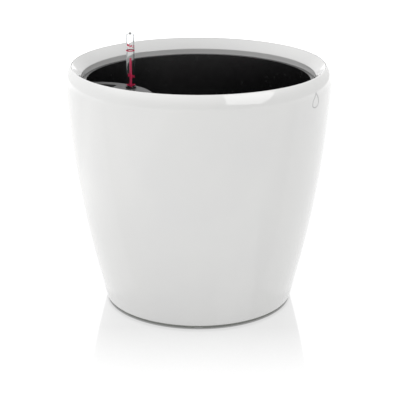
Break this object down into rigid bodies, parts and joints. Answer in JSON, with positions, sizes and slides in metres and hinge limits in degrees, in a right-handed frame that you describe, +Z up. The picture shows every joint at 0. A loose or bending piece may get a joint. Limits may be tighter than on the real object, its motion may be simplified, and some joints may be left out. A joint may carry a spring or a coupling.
{
  "type": "self watering planter",
  "caption": "Round tapered planter with a lift-out liner, a water reservoir under a perforated separator, a filling shaft and a float level indicator.",
  "frame": {"origin": "on the floor, under the centre of the pot", "axes": "+Z up along the pot's axis, -Y towards the front from which the level indicator stands at the left"},
  "size_m": [0.35, 0.3499, 0.3637],
  "materials": {
    "shell_white": "gloss, lacquered",
    "collar_white": "gloss, lacquered",
    "foot_grey": "satin",
    "liner_black": "fine satin grain",
    "pipe_black": "satin",
    "handle_black": "satin",
    "plug_black": "satin",
    "seal_rubber": "matt",
    "separator_black": "satin",
    "shaft_black": "satin",
    "cover_grey": "fine satin grain",
    "socket_black": "satin",
    "clear_tube": "clear, polished",
    "vent_dark": "satin",
    "float_white": "foamed",
    "rod_red": "translucent red"
  },
  "bodies": {
    "planter": {"outer_shell": "shell_white", "liner_support": "shell_white", "rim_collar": "collar_white", "foot_ring": "foot_grey"},
    "liner": {"liner": "liner_black", "overflow_pipe": "pipe_black", "overflow_strainer": "pipe_black"},
    "handle_back": {"liner_handle_back": "handle_black"},
    "handle_front": {"liner_handle_front": "handle_black"},
    "drain_seal": {"drain_plug_seal": "seal_rubber"},
    "drain_plug": {"drain_plug": "plug_black"},
    "separator": {"separator_plate": "separator_black", "separator_legs": "separator_black", "wick_cup_1": "separator_black", "wick_cup_2": "separator_black", "wick_cup_3": "separator_black"},
    "fill_shaft": {"fill_shaft": "shaft_black", "fill_shaft_cover": "cover_grey", "indicator_socket": "socket_black"},
    "indicator": {"float_cage": "socket_black", "indicator_tube": "clear_tube", "tube_vent_plug": "vent_dark"},
    "float": {"level_float": "float_white", "float_rod": "rod_red"}
  },
  "joints": [
    {"name": "liner_lift", "type": "slide", "parent": "planter", "child": "liner", "axis": [0, 0, 1], "range_m": [0, 0.33]},
    {"name": "handle_back_pull", "type": "slide", "parent": "liner", "child": "handle_back", "axis": [-0.0212, 0.056, 0.9982], "range_m": [0, 0.058]},
    {"name": "handle_front_pull", "type": "slide", "parent": "liner", "child": "handle_front", "axis": [0.0212, -0.056, 0.9982], "range_m": [0, 0.058]},
    {"name": "separator_lift", "type": "slide", "parent": "liner", "child": "separator", "axis": [0, 0, 1], "range_m": [0, 0.3]},
    {"name": "fill_shaft_lift", "type": "slide", "parent": "separator", "child": "fill_shaft", "axis": [0, 0, 1], "range_m": [0, 0.25]},
    {"name": "indicator_lift", "type": "slide", "parent": "fill_shaft", "child": "indicator", "axis": [0, 0, 1], "range_m": [0, 0.28]},
    {"name": "float_level", "type": "slide", "parent": "indicator", "child": "float", "axis": [0, 0, 1], "range_m": [-0.034, 0.011]},
    {"name": "drain_seal_slide", "type": "slide", "parent": "liner", "child": "drain_seal", "axis": [0, 0, -1], "range_m": [0, 0.01]},
    {"name": "drain_plug_turn", "type": "hinge", "parent": "drain_seal", "child": "drain_plug", "pos_m": [0, 0, 0.012], "axis": [0, 0, -1], "range_deg": [0, 900]}
  ],
  "couplings": [
    {"joint": "drain_seal_slide", "follows": "drain_plug_turn", "m_per_rad": 0.00063662}
  ]
}
